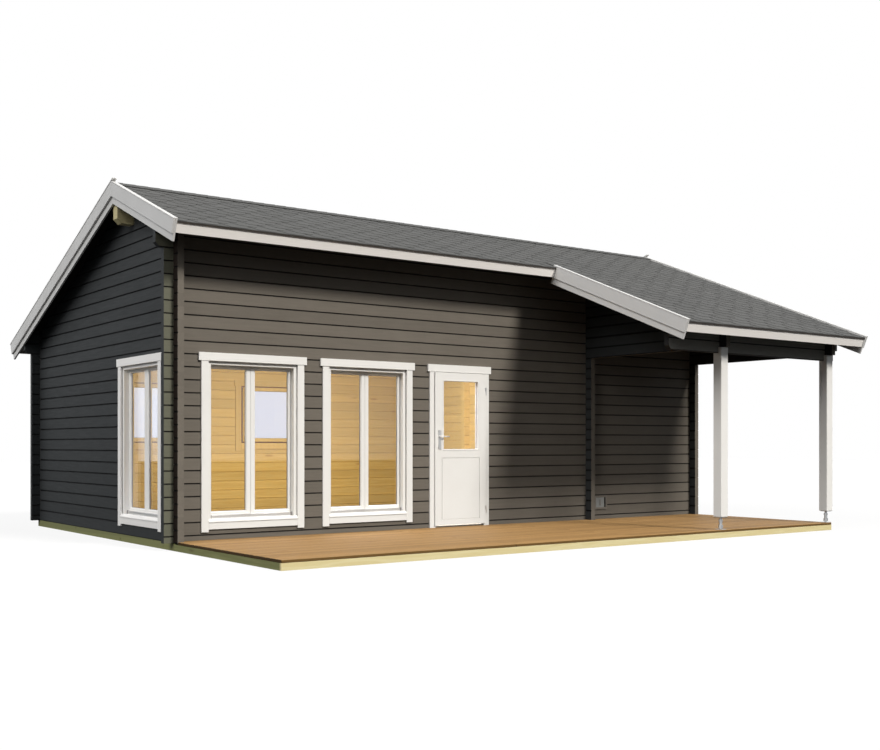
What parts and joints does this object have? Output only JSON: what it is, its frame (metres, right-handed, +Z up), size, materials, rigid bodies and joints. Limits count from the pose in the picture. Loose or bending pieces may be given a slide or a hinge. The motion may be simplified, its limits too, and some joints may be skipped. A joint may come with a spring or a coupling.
{
  "type": "log cabin",
  "caption": "Gable-roofed log cabin with a long terrace, part of it under an extended roof on posts, a half-glazed door and tall windows.",
  "frame": {"origin": "on the ground, under the ridge at mid-length", "axes": "+X along the ridge to the right as seen from the front, +Y to the back, +Z up"},
  "size_m": [8.45, 7.6034, 4.0147],
  "materials": {
    "painted_logs": "dark grey paint outside, bare spruce inside",
    "white_paint": "satin white paint",
    "bare_wood": "bare spruce boards",
    "treated_wood": "pressure-treated, greenish",
    "terrace_fascia_wood": "pale treated board",
    "deck_wood": "oiled grooved boards",
    "purlin_wood": "bare glued beam",
    "shingled_roof": "boards under grey mineral-faced felt shingles",
    "window_glass": "clear double glazing",
    "galvanised_steel": "galvanised",
    "satin_steel": "satin",
    "vent_plastic": "matte grey"
  },
  "bodies": {
    "cabin": {"back_wall": "painted_logs", "back_window_1_casing": "white_paint", "back_window_1_frame": "white_paint", "back_window_1_panes": "window_glass", "back_window_2_casing": "white_paint", "back_window_2_frame": "white_paint", "back_window_2_panes": "window_glass", "barge_left_back": "white_paint", "barge_left_front": "white_paint", "barge_porch": "white_paint", "barge_right_back": "white_paint", "barge_right_front": "white_paint", "cross_wall": "painted_logs", "door_frame": "white_paint", "fascia_back": "white_paint", "fascia_high": "white_paint", "fascia_low": "white_paint", "floor": "bare_wood", "foundation_frame": "treated_wood", "front_beam": "painted_logs", "front_wall_left": "painted_logs", "front_wall_over_door": "painted_logs", "front_wall_right": "painted_logs", "front_window_1_casing": "white_paint", "front_window_1_frame": "white_paint", "front_window_1_panes": "window_glass", "front_window_2_casing": "white_paint", "front_window_2_frame": "white_paint", "front_window_2_panes": "window_glass", "gable_window_casing": "white_paint", "gable_window_frame": "white_paint", "gable_window_panes": "window_glass", "hinge_fixed": "satin_steel", "left_gable_wall": "painted_logs", "partition_wall": "painted_logs", "post_1": "white_paint", "post_2": "white_paint", "post_foot_1": "galvanised_steel", "post_foot_2": "galvanised_steel", "rain_rails": "satin_steel", "ridge_purlin": "purlin_wood", "right_gable_wall": "painted_logs", "roof_back": "shingled_roof", "roof_front": "shingled_roof", "terrace_deck": "deck_wood", "terrace_fascia": "terrace_fascia_wood", "terrace_joists": "treated_wood", "wall_vent": "vent_plastic"},
    "door": {"door_leaf": "white_paint", "door_pane": "window_glass", "door_lever_plates": "satin_steel", "hinge_moving": "satin_steel"},
    "lever": {"door_lever": "satin_steel"}
  },
  "joints": [
    {"name": "door_swing", "type": "hinge", "parent": "cabin", "child": "door", "pos_m": [0.1185, -1.168, 0.3], "axis": [0, 0, 1], "range_deg": [0, 110]},
    {"name": "lever_turn", "type": "hinge", "parent": "door", "child": "lever", "pos_m": [-0.6045, -1.175, 1.192], "axis": [0, 1, 0], "range_deg": [0, 45], "stiffness_Nm_per_rad": 1, "springref_deg": -28.65}
  ]
}
